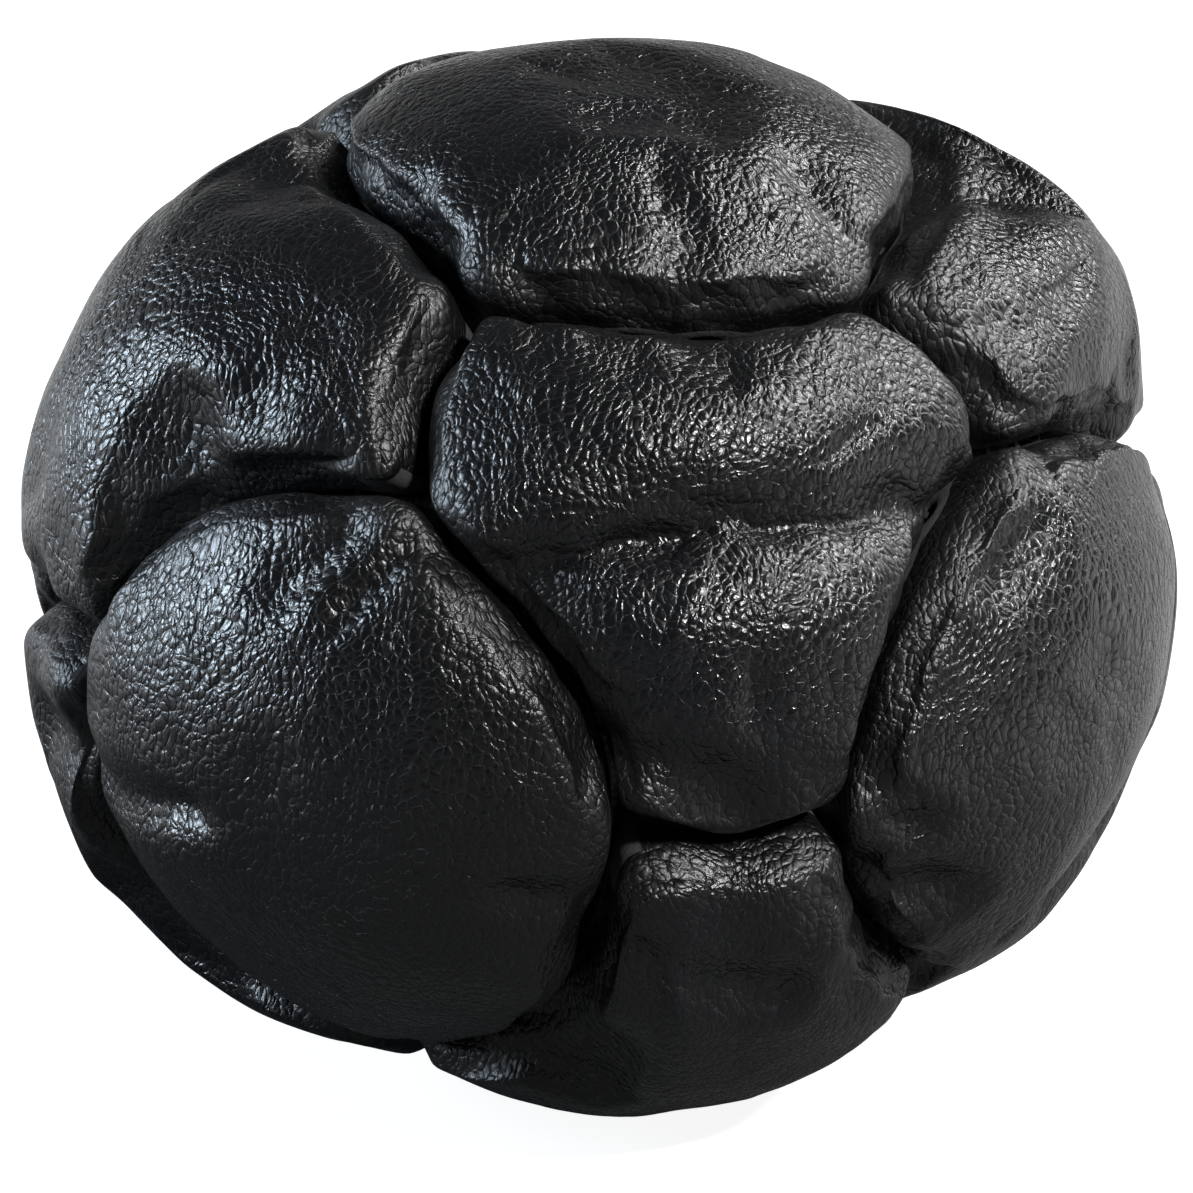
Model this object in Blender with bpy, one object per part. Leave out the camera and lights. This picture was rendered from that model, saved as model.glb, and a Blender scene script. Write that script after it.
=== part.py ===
"""A sewn leather footbag, in metres, +Z up, standing on the origin.

Fourteen crowned panels, six with four sides and eight with six, meet in deep turned-in seams. Seam
threads run through needle holes in the turned-in edges. Inside is a cloth bag with a filling mouth,
which holds the loose fill. The front of the bag faces -Y.

Every seam lies in planes through the middle of the ball, so the two edges that it joins are the same
flat facets, moved apart by half the seam gap. That is what keeps the needle holes in line.
"""

import math

import bmesh
import bpy
import numpy

# Driving sizes of the whole ball, measured over the crowns of its panels
BALL_WIDTH = 0.0602
BALL_DEPTH = 0.0592
BALL_HEIGHT = 0.0544
FLAT_DEPTH = 0.0011

# Leather and the form of a panel
LEATHER = 0.0011
CROWN_RISE = 0.0011
GROOVE_DEPTH = 0.0034
PIT_DEPTH = 0.0005
SHOULDER_WIDTH = 0.0027
FOLD_DEPTH = 0.0012
FOLD_WIDTH = 0.0036

# Seams: the turned-in edges, the thread and its needle holes. Points of the bag's skin that lie
# closer than the weld share of the seam gap are one point
SEAM_GAP = 0.0003
WELD_SHARE = 0.1
TURNED_EDGE = 0.0028
STITCH_DEPTH = 0.0013
THREAD = 0.0006
NEEDLE_CLEARANCE = 0.0003
THREAD_CLEARANCE = 0.0003
THREAD_TAIL = 0.0012

# Inner bag and fill
CLOTH = 0.0005
BAG_CLEARANCE = 0.0003
BAG_SHOULDER = 0.0038
FILL_CLEARANCE = 0.0003
MOUTH_WIDTH = 0.0090

# Height of the fill over the middle of the ball, as a share of that of the lowest place on the top
# panel's seams. It stays under the pockets that those seams press into the bag
FILL_LEVEL_SHARE = 0.72

# Turns of the net: four quarters round the ball, each with a four-sided panel on its waist
QUARTER_COUNT = 4

# Where the seams meet, as azimuth from the front towards +X and elevation, in degrees
CORNERS = {
    "top": ((-23, 50), (47, 46), (138, 55), (-118, 57)),
    "upper": ((-22, 28), (54, 27), (144, 38), (-119, 36)),
    "left": ((-64, 1), (25, -7), (112, 5), (-156, 6)),
    "right": ((2, -6), (87, 14), (-178, 8), (-88, -1)),
    "lower": ((-40, -50), (52, -39), (151, -30), (-126, -31)),
    "bottom": ((-44, -68), (66, -61), (153, -52), (-130, -52)),
}

# Seams by the corners that they join, and whether the far corner is a quarter further round
SEAM_ENDS = {
    "top_edge": ("top", "top", 1),
    "neck": ("top", "upper", 0),
    "upper_left": ("upper", "left", 0),
    "upper_right": ("upper", "right", 0),
    "lower_left": ("left", "lower", 0),
    "lower_right": ("right", "lower", 0),
    "waist": ("right", "left", 1),
    "foot": ("lower", "bottom", 0),
    "bottom_edge": ("bottom", "bottom", 1),
}
SHORT_SEAMS = ("neck", "waist", "foot")

# How far each seam leaves the straight way, as a bow and an S, both shares of its length
SEAM_BEND_SHARES = {
    "top_edge": ((-0.10, 0.01), (-0.17, 0.05), (-0.13, 0.03), (-0.08, -0.04)),
    "neck": ((-0.10, 0.02), (0.12, -0.03), (0.06, 0.00), (-0.05, 0.03)),
    "upper_left": ((-0.17, 0.01), (-0.13, 0.00), (-0.12, 0.02), (-0.10, -0.02)),
    "upper_right": ((0.10, -0.03), (0.06, -0.03), (0.12, 0.02), (0.10, -0.03)),
    "lower_left": ((-0.25, 0.00), (-0.07, -0.01), (-0.12, 0.02), (-0.10, -0.02)),
    "lower_right": ((0.16, -0.02), (0.16, 0.00), (0.12, 0.02), (0.10, 0.00)),
    "waist": ((-0.10, 0.00), (0.05, 0.00), (-0.05, 0.00), (0.03, -0.05)),
    "foot": ((0.05, 0.00), (-0.05, 0.00), (0.04, 0.00), (-0.04, 0.00)),
    "bottom_edge": ((0.10, 0.02), (0.12, -0.02), (0.10, 0.02), (0.12, 0.00)),
}

# Stitches along a seam, and the share of it that is left free at each end
LONG_STITCH_COUNT = 4
LONG_END_SHARE = 0.10
SHORT_STITCH_COUNT = 2
SHORT_END_SHARE = 0.0

# How far a panel's middle stands up, as a share of the crown's rise
CROWN_SHARES = {
    "top": 0.8,
    "front_left": 1.3,
    "front_right": 1.1,
    "front_upper": 0.7,
    "front_lower": 0.8,
    "left_upper": 1.2,
    "left_lower": 1.4,
    "back_left": 1.3,
    "right_upper": 1.7,
    "back_upper": 1.6,
    "bottom": 0.5,
}

# Deep folds: panel, where each starts and ends in degrees, and its depth and width as shares
FOLD_SHARES = (
    ("front_upper", (45, 24), (4, 24), 1.0, 1.0),
    ("front_upper", (-2, 4), (14, -1), 0.8, 0.5),
    ("front_lower", (3, -19), (21, -26), 0.7, 0.6),
    ("front_left", (-62, -12), (-42, -8), 0.6, 0.7),
    ("left_lower", (-84, -14), (-66, -11), 0.8, 0.7),
    ("top", (60, 66), (44, 54), 0.5, 0.9),
    ("left_upper", (-40, 42), (-44, 26), 0.5, 0.9),
    ("right_upper", (70, 34), (62, 44), 0.6, 0.8),
    ("front_right", (29, -12), (42, -18), 0.7, 0.7),
)

# Rings of a panel: turns of its rolled shoulder in degrees, and shares of the way to its middle
OUTER_TURN_ANGLES = (30, 60, 90)
INNER_TURN_ANGLES = (50, 90)
OUTER_CROWN_SHARES = (0.33, 0.67)
INNER_CROWN_SHARES = (0.45,)

# Edges that turn by more than this stay sharp when the rest is shaded smooth
SHARP_ANGLE = math.radians(50)

# Finishes: colour, roughness and metallic value
LEATHER_FINISH = ((0.012, 0.013, 0.015, 1.0), 0.42, 0.0)
THREAD_FINISH = ((0.015, 0.015, 0.016, 1.0), 0.60, 0.0)
CLOTH_FINISH = ((0.55, 0.53, 0.48, 1.0), 0.90, 0.0)
SAND_FINISH = ((0.52, 0.41, 0.27, 1.0), 0.95, 0.0)


def unit(vector):
    """The same direction, one long."""
    return vector / numpy.linalg.norm(vector)


def direction(azimuth, elevation):
    """The unit vector at an azimuth from the front towards +X and an elevation, in degrees."""
    turn, lift = math.radians(azimuth), math.radians(elevation)
    return numpy.array(
        (math.cos(lift) * math.sin(turn), -math.cos(lift) * math.cos(turn), math.sin(lift))
    )


def turned(start, goal, angle):
    """A unit vector turned from start towards goal by an angle, both unit vectors."""
    across = unit(goal - start * start.dot(goal))
    return start * math.cos(angle) + across * math.sin(angle)


def angle_between(first, second):
    """The angle between two unit vectors."""
    return math.atan2(numpy.linalg.norm(numpy.cross(first, second)), first.dot(second))


def shoulder_radius(way):
    """Distance from the middle of the ball to the shoulders of its panels, in a direction."""
    halves = numpy.array((BALL_WIDTH, BALL_DEPTH, BALL_HEIGHT)) / 2 - CROWN_RISE
    return 1 / numpy.linalg.norm(way / halves)


def floor_depth():
    """Depth of the resting face under the middle of the ball."""
    return BALL_HEIGHT / 2 - FLAT_DEPTH


def kept_above(point, depth):
    """The point, raised where it lies deeper under the middle of the ball than the depth given."""
    return numpy.array((point[0], point[1], max(point[2], -depth)))


def station_shares(kind):
    """Shares of a seam at which its outline has points, and the intervals that hold a stitch."""
    short = kind in SHORT_SEAMS
    stitches = SHORT_STITCH_COUNT if short else LONG_STITCH_COUNT
    end = SHORT_END_SHARE if short else LONG_END_SHARE
    inner = [end + (1 - 2 * end) * step / stitches for step in range(stitches + 1)]
    if end > 0:
        return [0.0] + inner + [1.0], range(1, stitches + 1)
    return inner, range(stitches)


def seam_points(kind, quarter):
    """Unit vectors along a seam, from its first corner to its last."""
    first, last, step = SEAM_ENDS[kind]
    start = direction(*CORNERS[first][quarter])
    end = direction(*CORNERS[last][(quarter + step) % QUARTER_COUNT])
    length = angle_between(start, end)
    left = unit(numpy.cross(start, end))
    bow, ess = SEAM_BEND_SHARES[kind][quarter]
    points = []
    for share in station_shares(kind)[0]:
        side = bow * math.sin(math.pi * share) + ess * math.sin(2 * math.pi * share)
        points.append(turned(turned(start, end, share * length), left, side * length))
    return points


class Outline:
    """The closed outline of a panel, anticlockwise from outside, on a ball of radius one."""

    def __init__(self, steps):
        self.points, self.corner, self.stitched = [], [], []
        self.kinds, self.starts = [], []
        for kind, quarter, forwards in steps:
            self.kinds.append(kind)
            self.starts.append(len(self.points))
            points = seam_points(kind, quarter % QUARTER_COUNT)
            held = station_shares(kind)[1]
            count = len(points) - 1
            order = range(count) if forwards else range(count, 0, -1)
            for step, index in enumerate(order):
                self.points.append(points[index])
                self.corner.append(step == 0)
                self.stitched.append((index if forwards else index - 1) in held)
        count = len(self.points)
        self.inward = [
            unit(numpy.cross(self.points[index], self.points[(index + 1) % count]))
            for index in range(count)
        ]
        self.centre = unit(sum(self.points))

    def __len__(self):
        return len(self.points)

    def aside(self, index, radius, offset):
        """A point on the outline's wall at a radius, moved inwards square to both its facets."""
        before, after = self.inward[index - 1], self.inward[index]
        mitre = (before + after) / (1 + before.dot(after))
        return radius * self.points[index] + offset * mitre

    def bag_points(self):
        """The points that the inner bag follows: all but those beside a corner."""
        count = len(self)
        return [
            index
            for index in range(count)
            if not (self.corner[index - 1] or self.corner[(index + 1) % count])
        ]

    def middle(self, index):
        """The direction of the middle of the facet that follows a point."""
        return unit(self.points[index] + self.points[(index + 1) % len(self)])

    def fold_level(self, index):
        """Radius of the fold where the panel turns in, which dips in a pit at each corner."""
        level = shoulder_radius(self.points[index]) - GROOVE_DEPTH
        return level - PIT_DEPTH if self.corner[index] else level


def stitch_radius(way):
    """Radius of the needle holes and the thread, in a direction."""
    return shoulder_radius(way) - GROOVE_DEPTH - STITCH_DEPTH


def fold_drop(name, way):
    """How far the panel's folds pull its surface in, in a direction."""
    drop = 0.0
    for panel, start, end, depth_share, width_share in FOLD_SHARES:
        if panel != name:
            continue
        first, last = direction(*start), direction(*end)
        along = math.atan2(way.dot(turned(first, last, math.pi / 2)), way.dot(first))
        nearest = turned(first, last, min(max(along, 0), angle_between(first, last)))
        away = angle_between(nearest, way) * shoulder_radius(way) / (FOLD_WIDTH * width_share)
        drop += FOLD_DEPTH * depth_share * math.exp(-away * away)
    return drop


def crown_radius(name, way, share):
    """Radius of a panel's outer face, at a share of the way from its shoulder to its middle."""
    rise = CROWN_RISE * CROWN_SHARES.get(name, 1.0) * (1 - (1 - share) ** 2)
    return shoulder_radius(way) + rise - fold_drop(name, way)


def needle_square(outline, index, offset):
    """The four corners of a needle hole on the wall that lies an offset inside the seam."""
    way, inward = outline.middle(index), outline.inward[index]
    along = numpy.cross(inward, way)
    half = THREAD / 2 + NEEDLE_CLEARANCE
    middle = stitch_radius(way) * way + offset * inward
    return [
        middle + half * (side * along + lift * way)
        for side, lift in ((-1, -1), (1, -1), (1, 1), (-1, 1))
    ]


def join_rings(mesh, lower, upper):
    """Quads between two closed rings of vertices, the upper one nearer the middle of the panel."""
    count = len(lower)
    for index in range(count):
        after = (index + 1) % count
        mesh.faces.new((lower[index], lower[after], upper[after], upper[index]))


def join_to_point(mesh, ring, point):
    """Triangles from a closed ring of vertices to one vertex."""
    for index in range(len(ring)):
        mesh.faces.new((ring[index], ring[(index + 1) % len(ring)], point))


def panel_ring(outline, radius_at, turn, thickness, floor):
    """A ring of points on a panel's rolled shoulder, at a turn of 0 to 90 degrees."""
    ring = []
    swing = math.radians(turn)
    for index in range(len(outline)):
        level = outline.fold_level(index)
        foot = unit(outline.aside(index, level, SEAM_GAP / 2))
        slide = SHOULDER_WIDTH - (SHOULDER_WIDTH - thickness) * math.cos(swing)
        way = turned(foot, outline.centre, slide / level)
        radius = level + (radius_at(way, 0) - thickness - level) * math.sin(swing)
        ring.append(kept_above(radius * way, floor - thickness))
    return ring


def crown_ring(outline, radius_at, share, thickness, floor):
    """A ring of points on a panel's crown, at a share of the way from its shoulder to its middle."""
    ring = []
    for index in range(len(outline)):
        level = outline.fold_level(index)
        foot = unit(outline.aside(index, level, SEAM_GAP / 2))
        shoulder = turned(foot, outline.centre, SHOULDER_WIDTH / level)
        way = turned(shoulder, outline.centre, share * angle_between(shoulder, outline.centre))
        ring.append(kept_above((radius_at(way, share) - thickness) * way, floor - thickness))
    return ring


def wall_rings(mesh, outline, offset):
    """The rim and the fold of a turned-in edge, on the wall that lies an offset inside the seam."""
    rim = [
        mesh.verts.new(outline.aside(index, outline.fold_level(index) - TURNED_EDGE, offset))
        for index in range(len(outline))
    ]
    fold = [
        mesh.verts.new(outline.aside(index, outline.fold_level(index), offset))
        for index in range(len(outline))
    ]
    return rim, fold


def add_turned_edge(mesh, outline):
    """The turned-in edge with its needle holes. Returns the folds on its outer and inner wall."""
    offsets = (SEAM_GAP / 2, SEAM_GAP / 2 + LEATHER)
    walls = [wall_rings(mesh, outline, offset) for offset in offsets]
    (outer_rim, outer_fold), (inner_rim, inner_fold) = walls
    join_rings(mesh, inner_rim, outer_rim)
    for index in range(len(outline)):
        after = (index + 1) % len(outline)
        sides = [
            (outer_rim[index], outer_rim[after], outer_fold[after], outer_fold[index]),
            (inner_rim[index], inner_rim[after], inner_fold[after], inner_fold[index]),
        ]
        if not outline.stitched[index]:
            for side in sides:
                mesh.faces.new(side)
            continue
        holes = [
            [mesh.verts.new(point) for point in needle_square(outline, index, offset)]
            for offset in offsets
        ]
        for side, hole in zip(sides, holes):
            join_rings(mesh, side, hole)
        join_rings(mesh, *holes)
    return outer_fold, inner_fold


def add_face(mesh, fold, rings, middle):
    """A panel's outer or inner face, from the fold over its rings to its middle."""
    lower = fold
    for ring in rings:
        upper = [mesh.verts.new(point) for point in ring]
        join_rings(mesh, lower, upper)
        lower = upper
    join_to_point(mesh, lower, mesh.verts.new(middle))


def finish(name, colour, roughness, metallic):
    """A plain finish of one colour."""
    material = bpy.data.materials.new(name)
    material.use_nodes = True
    shader = material.node_tree.nodes["Principled BSDF"]
    shader.inputs["Base Color"].default_value = colour
    shader.inputs["Roughness"].default_value = roughness
    shader.inputs["Metallic"].default_value = metallic
    return material


def place(name, data, look, parent):
    """An object of the part, in its own finish, hung from the middle of the ball."""
    made = bpy.data.objects.new(name, data)
    made.data.materials.append(finish(name + "_finish", *look))
    made.parent = parent
    bpy.context.scene.collection.objects.link(made)
    return made


def mesh_data(name, mesh):
    """Mesh data from a bmesh, its faces turned out, shaded smooth but for its sharp edges."""
    bmesh.ops.recalc_face_normals(mesh, faces=mesh.faces)
    data = bpy.data.meshes.new(name)
    mesh.to_mesh(data)
    mesh.free()
    data.shade_smooth()
    data.set_sharp_from_angle(angle=SHARP_ANGLE)
    return data


def make_panel(name, outline, parent):
    """One leather panel: its crown, its rolled shoulders and its turned-in edges."""

    def radius_at(way, share):
        return crown_radius(name, way, share)

    mesh = bmesh.new()
    outer_fold, inner_fold = add_turned_edge(mesh, outline)
    floor = floor_depth()
    for fold, turns, shares, thickness in (
        (outer_fold, OUTER_TURN_ANGLES, OUTER_CROWN_SHARES, 0.0),
        (inner_fold, INNER_TURN_ANGLES, INNER_CROWN_SHARES, LEATHER),
    ):
        rings = [panel_ring(outline, radius_at, turn, thickness, floor) for turn in turns]
        rings += [crown_ring(outline, radius_at, share, thickness, floor) for share in shares]
        middle = (radius_at(outline.centre, 1) - thickness) * outline.centre
        add_face(mesh, fold, rings, kept_above(middle, floor - thickness))
    place("panel_" + name, mesh_data(name, mesh), LEATHER_FINISH, parent)


def bag_face(outline, name, inset):
    """One panel's share of the inner bag's skin: its seam ring, its inner ring and its middle."""
    clear = LEATHER + BAG_CLEARANCE + inset
    floor = floor_depth() - clear
    seam, inner = [], []
    for index in outline.bag_points():
        radius = outline.fold_level(index) - TURNED_EDGE - BAG_CLEARANCE - inset
        way = outline.points[index]
        seam.append(kept_above(radius * way, floor))
        slide = (BAG_SHOULDER + inset) / radius
        inner.append(kept_above(radius * turned(way, outline.centre, slide), floor))
    middle = (crown_radius(name, outline.centre, 1) - clear) * outline.centre
    return seam, inner, kept_above(middle, floor)


def add_bag_skin(mesh, outlines, inset, mouth):
    """A closed skin inside all the panels, or one left open round the mouth on the top panel."""
    rim = []
    for name, outline in outlines.items():
        seam, inner, middle = bag_face(outline, name, inset)
        lower = [mesh.verts.new(point) for point in seam]
        upper = [mesh.verts.new(point) for point in inner]
        join_rings(mesh, lower, upper)
        if mouth and name == "top":
            share = MOUTH_WIDTH / 2 / max(numpy.linalg.norm(point - middle) for point in inner)
            rim = [mesh.verts.new(middle + (point - middle) * share) for point in inner]
            join_rings(mesh, upper, rim)
        else:
            join_to_point(mesh, upper, mesh.verts.new(middle))
    return rim


def merge_seams(mesh):
    """The skins of neighbouring panels joined along their seams."""
    bmesh.ops.remove_doubles(mesh, verts=mesh.verts, dist=SEAM_GAP * WELD_SHARE)


def make_inner_bag(outlines, parent):
    """The cloth bag that holds the fill, with its filling mouth left open at the top."""
    mesh = bmesh.new()
    outer_rim = add_bag_skin(mesh, outlines, 0.0, True)
    inner_rim = add_bag_skin(mesh, outlines, CLOTH, True)
    join_rings(mesh, outer_rim, inner_rim)
    merge_seams(mesh)
    place("inner_bag", mesh_data("inner_bag", mesh), CLOTH_FINISH, parent)


def make_fill(outlines, parent):
    """The loose fill, level on top, inside the cloth bag."""
    inset = CLOTH + FILL_CLEARANCE
    mesh = bmesh.new()
    add_bag_skin(mesh, outlines, inset, False)
    merge_seams(mesh)
    seam, _, _ = bag_face(outlines["top"], "top", inset)
    level = FILL_LEVEL_SHARE * min(point[2] for point in seam)
    cut = bmesh.ops.bisect_plane(
        mesh,
        geom=list(mesh.verts) + list(mesh.edges) + list(mesh.faces),
        plane_co=(0, 0, level),
        plane_no=(0, 0, 1),
        clear_outer=True,
    )
    edges = [item for item in cut["geom_cut"] if isinstance(item, bmesh.types.BMEdge)]
    bmesh.ops.contextual_create(mesh, geom=edges)
    place("sand_fill", mesh_data("sand_fill", mesh), SAND_FINISH, parent)


def make_thread(name, points, parent):
    """One sewing thread along its route."""
    curve = bpy.data.curves.new(name, "CURVE")
    curve.dimensions = "3D"
    curve.bevel_depth = THREAD / 2
    curve.bevel_resolution = 0
    curve.use_fill_caps = True
    spline = curve.splines.new("POLY")
    spline.points.add(len(points) - 1)
    for spline_point, point in zip(spline.points, points):
        spline_point.co = (*point, 1)
    place(name, curve, THREAD_FINISH, parent)


def wall_distance():
    """Distance of a thread's middle from the seam, where it lies on the wall of a turned-in edge."""
    return SEAM_GAP / 2 + LEATHER + THREAD_CLEARANCE + THREAD / 2


def seam_route(outline, first, last, side):
    """A thread's points through the stitches of one seam, starting and ending on one side of it."""
    away = wall_distance()
    route = []
    for index in range(first, last):
        way = outline.middle(index)
        radius = stitch_radius(way)
        for then in (side, -side):
            route.append(radius * way + then * away * outline.inward[index])
        side = -side
        if index + 1 < last:
            radius = stitch_radius(outline.points[index + 1])
            route.append(outline.aside(index + 1, radius, side * away))
    return route


def with_tails(route):
    """The route with a short tail at each end, pointing to the middle of the ball."""
    first, last = (point - THREAD_TAIL * unit(point) for point in (route[0], route[-1]))
    return [first] + route + [last]


def make_round_thread(name, outline, parent):
    """The thread that sews a four-sided panel in, all round it."""
    route = []
    for start in outline.starts:
        if route:
            radius = stitch_radius(outline.points[start])
            route.append(outline.aside(start, radius, wall_distance()))
        first = start + outline.stitched[start:].index(True)
        route += seam_route(outline, first, first + LONG_STITCH_COUNT, 1)
    make_thread(name, with_tails(route), parent)


def make_short_thread(name, outline, kind, parent):
    """The thread of a short seam, the first of its kind round a six-sided panel."""
    start = outline.starts[outline.kinds.index(kind)]
    first = start + outline.stitched[start:].index(True)
    route = seam_route(outline, first, first + SHORT_STITCH_COUNT, 1)
    make_thread(name, with_tails(route), parent)


def square_steps(quarter):
    """The seams round a four-sided panel on the waist."""
    return (
        ("upper_left", quarter, True),
        ("lower_left", quarter, True),
        ("lower_right", quarter, False),
        ("upper_right", quarter, False),
    )


def upper_steps(quarter):
    """The seams round a six-sided panel beside the top one, starting with a short seam."""
    return (
        ("neck", quarter, True),
        ("upper_right", quarter, True),
        ("waist", quarter, True),
        ("upper_left", quarter + 1, False),
        ("neck", quarter + 1, False),
        ("top_edge", quarter, False),
    )


def lower_steps(quarter):
    """The seams round a six-sided panel beside the bottom one, ending with a short seam."""
    return (
        ("lower_right", quarter, True),
        ("foot", quarter, True),
        ("bottom_edge", quarter, True),
        ("foot", quarter + 1, False),
        ("lower_left", quarter + 1, False),
        ("waist", quarter, False),
    )


def panel_outlines():
    """The outline of each panel, by its name."""
    outlines = {"top": Outline([("top_edge", quarter, True) for quarter in range(QUARTER_COUNT)])}
    for quarter, name in enumerate(("front_left", "front_right", "back_right", "back_left")):
        outlines[name] = Outline(square_steps(quarter))
    for quarter, name in enumerate(("front", "right", "back", "left")):
        outlines[name + "_upper"] = Outline(upper_steps(quarter))
        outlines[name + "_lower"] = Outline(lower_steps(quarter))
    outlines["bottom"] = Outline(
        [("bottom_edge", quarter, False) for quarter in reversed(range(QUARTER_COUNT))]
    )
    return outlines


def main():
    """Clears the scene and models every piece, hung from an empty at the middle of the ball."""
    for old in list(bpy.data.objects):
        bpy.data.objects.remove(old, do_unlink=True)
    middle = bpy.data.objects.new("ball_middle", None)
    middle.location = (0, 0, floor_depth())
    bpy.context.scene.collection.objects.link(middle)
    outlines = panel_outlines()
    for name, outline in outlines.items():
        make_panel(name, outline, middle)
        if len(outline.starts) == QUARTER_COUNT:
            make_round_thread("thread_round_" + name, outline, middle)
    for name in ("front", "right", "back", "left"):
        upper, lower = outlines[name + "_upper"], outlines[name + "_lower"]
        make_short_thread("thread_" + name + "_upper_side", upper, "neck", middle)
        make_short_thread("thread_" + name + "_waist", upper, "waist", middle)
        make_short_thread("thread_" + name + "_lower_side", lower, "foot", middle)
    make_inner_bag(outlines, middle)
    make_fill(outlines, middle)


main()
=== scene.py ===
"""Looks of the sewn leather footbag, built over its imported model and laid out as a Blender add-on.

The front of the bag faces -Y. A direction on the ball is an azimuth from the front towards +X and
an elevation, in degrees, seen from the middle of the ball. Sizes are in metres.
"""

import math

import bmesh
import bpy
import numpy
from bpy.props import FloatProperty, FloatVectorProperty, IntProperty, PointerProperty
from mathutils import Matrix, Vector, noise
from mathutils.kdtree import KDTree


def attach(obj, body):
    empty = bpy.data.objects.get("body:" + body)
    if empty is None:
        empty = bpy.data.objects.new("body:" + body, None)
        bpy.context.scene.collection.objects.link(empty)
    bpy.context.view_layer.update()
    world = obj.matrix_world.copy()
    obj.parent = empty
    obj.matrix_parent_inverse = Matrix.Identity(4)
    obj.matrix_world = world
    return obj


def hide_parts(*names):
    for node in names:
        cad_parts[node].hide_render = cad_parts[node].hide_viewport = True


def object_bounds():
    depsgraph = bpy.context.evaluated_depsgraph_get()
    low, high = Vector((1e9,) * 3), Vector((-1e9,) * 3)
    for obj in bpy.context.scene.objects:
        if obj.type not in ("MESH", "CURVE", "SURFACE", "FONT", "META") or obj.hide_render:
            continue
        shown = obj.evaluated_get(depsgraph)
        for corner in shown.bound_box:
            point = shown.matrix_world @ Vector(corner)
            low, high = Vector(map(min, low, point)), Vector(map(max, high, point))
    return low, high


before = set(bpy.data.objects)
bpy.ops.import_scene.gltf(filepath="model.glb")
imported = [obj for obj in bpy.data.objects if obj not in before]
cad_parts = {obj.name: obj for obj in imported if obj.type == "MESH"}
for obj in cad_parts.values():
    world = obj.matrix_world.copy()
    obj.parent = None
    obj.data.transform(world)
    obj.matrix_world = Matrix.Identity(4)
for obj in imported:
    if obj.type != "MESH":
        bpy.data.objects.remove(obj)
FRAME_BOX = [list(corner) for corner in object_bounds()]

bl_info = {
    "name": "Sewn Leather Footbag",
    "version": (1, 0, 0),
    "blender": (4, 5, 0),
    "location": "3D View > Sidebar > Footbag",
    "description": "Builds the looks of a fourteen-panel leather footbag over its packed model",
    "category": "Object",
}

ROOT = "root"

# Material slots of a panel, and how far out a face has to look to be skin
SKIN, LINING = 0, 1
SKIN_OUTWARD = 0.1

# Steepness of a fold's sides, and the height and the place of its lips, in depths and half widths
FOLD_POWER = 1.4
LIP_HEIGHT, LIP_PLACE = 0.35, 1.7

# Spare leather beside a seam: its mean and how far it varies from there
SLACK_MEAN, SLACK_SWING = 0.5, 0.9

# How the leather behaves as cloth while it fills out
LEATHER_CLOTH = {
    "quality": 4,
    "mass": 0.3,
    "tension_stiffness": 15,
    "compression_stiffness": 15,
    "shear_stiffness": 5,
    "bending_stiffness": 0.5,
    "use_pressure": True,
}

# The leather panels, by the node that each one stands for
PANELS = (
    "top",
    "front_left",
    "front_right",
    "back_right",
    "back_left",
    "front_upper",
    "front_lower",
    "right_upper",
    "right_lower",
    "back_upper",
    "back_lower",
    "left_upper",
    "left_lower",
    "bottom",
)

# Folds: panel, the way each one runs, its depth in folds and its half width in widths
FOLDS = (
    ("front_upper", ((45, 24), (27, 24), (15, 25), (4, 24), (-6, 22)), 1.1, 0.9),
    ("front_upper", ((-1, 4), (5, 3), (10, 1), (14, -3)), 1.0, 0.5),
    ("front_lower", ((4, -19), (11, -23), (20, -26)), 1.0, 0.5),
    ("front_lower", ((22, -14), (24, -17)), 0.8, 0.4),
    ("front_lower", ((8, -16), (14, -19)), 0.6, 0.4),
    ("top", ((50, 62), (49, 52)), 0.6, 0.6),
    ("top", ((14, 66), (17, 58), (15, 52)), 0.3, 0.5),
    ("front_left", ((-42, -8), (-55, -11), (-63, -12)), 0.9, 0.5),
    ("left_lower", ((-67, -11), (-80, -13)), 0.9, 0.6),
    ("left_upper", ((-32, 31), (-43, 25)), 0.7, 0.4),
    ("left_upper", ((-41, 41), (-44, 34)), 0.5, 0.5),
    ("front_left", ((-27, 22), (-34, 15)), 0.7, 0.4),
    ("front_left", ((-21, 21), (-26, 15)), 0.7, 0.4),
    ("front_left", ((-9, -12), (-3, -15)), 0.6, 0.35),
    ("front_left", ((-5, -20), (0, -22)), 0.6, 0.35),
    ("front_right", ((29, -3), (34, -8)), 0.8, 0.4),
    ("front_right", ((29, -14), (40, -18)), 0.8, 0.5),
    ("front_right", ((52, 17), (44, 13)), 0.6, 0.4),
)

# Soft lights: name, place, width, glow (1 is white) and colour
LIGHTS = (
    ("right_back", (0.48, 0.30, 0.22), 0.24, 3.2, (1.0, 0.99, 0.97)),
    ("top_back", (0.38, 0.34, 0.40), 0.13, 27.0, (1.0, 1.0, 1.0)),
    ("right_top", (0.38, 0.04, 0.52), 0.09, 65.0, (1.0, 1.0, 1.0)),
    ("left", (-0.545, 0.10, 0.15), 0.20, 23.0, (0.72, 0.86, 1.0)),
    ("front_top", (0.285, -0.378, 0.40), 0.05, 450.0, (1.0, 1.0, 1.0)),
)

# The camera: how high it looks down from, in degrees, how far away it stands, how far it is moved
# to the right and up, and its lens in millimetres
CAMERA_LIFT = 22
CAMERA_DISTANCE = 0.450
CAMERA_SHIFT = (-0.000175, -0.001475)
CAMERA_LENS = 271.6

FLOOR_SIZE = 6.0
WHITE = (1, 1, 1, 1)

# The world: its light on everything, what it adds where it is seen, and how bright its backdrop is
WORLD_LIGHT, WORLD_WHITE, WORLD_BACKDROP = 0.05, 0.95, 0.25


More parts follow.
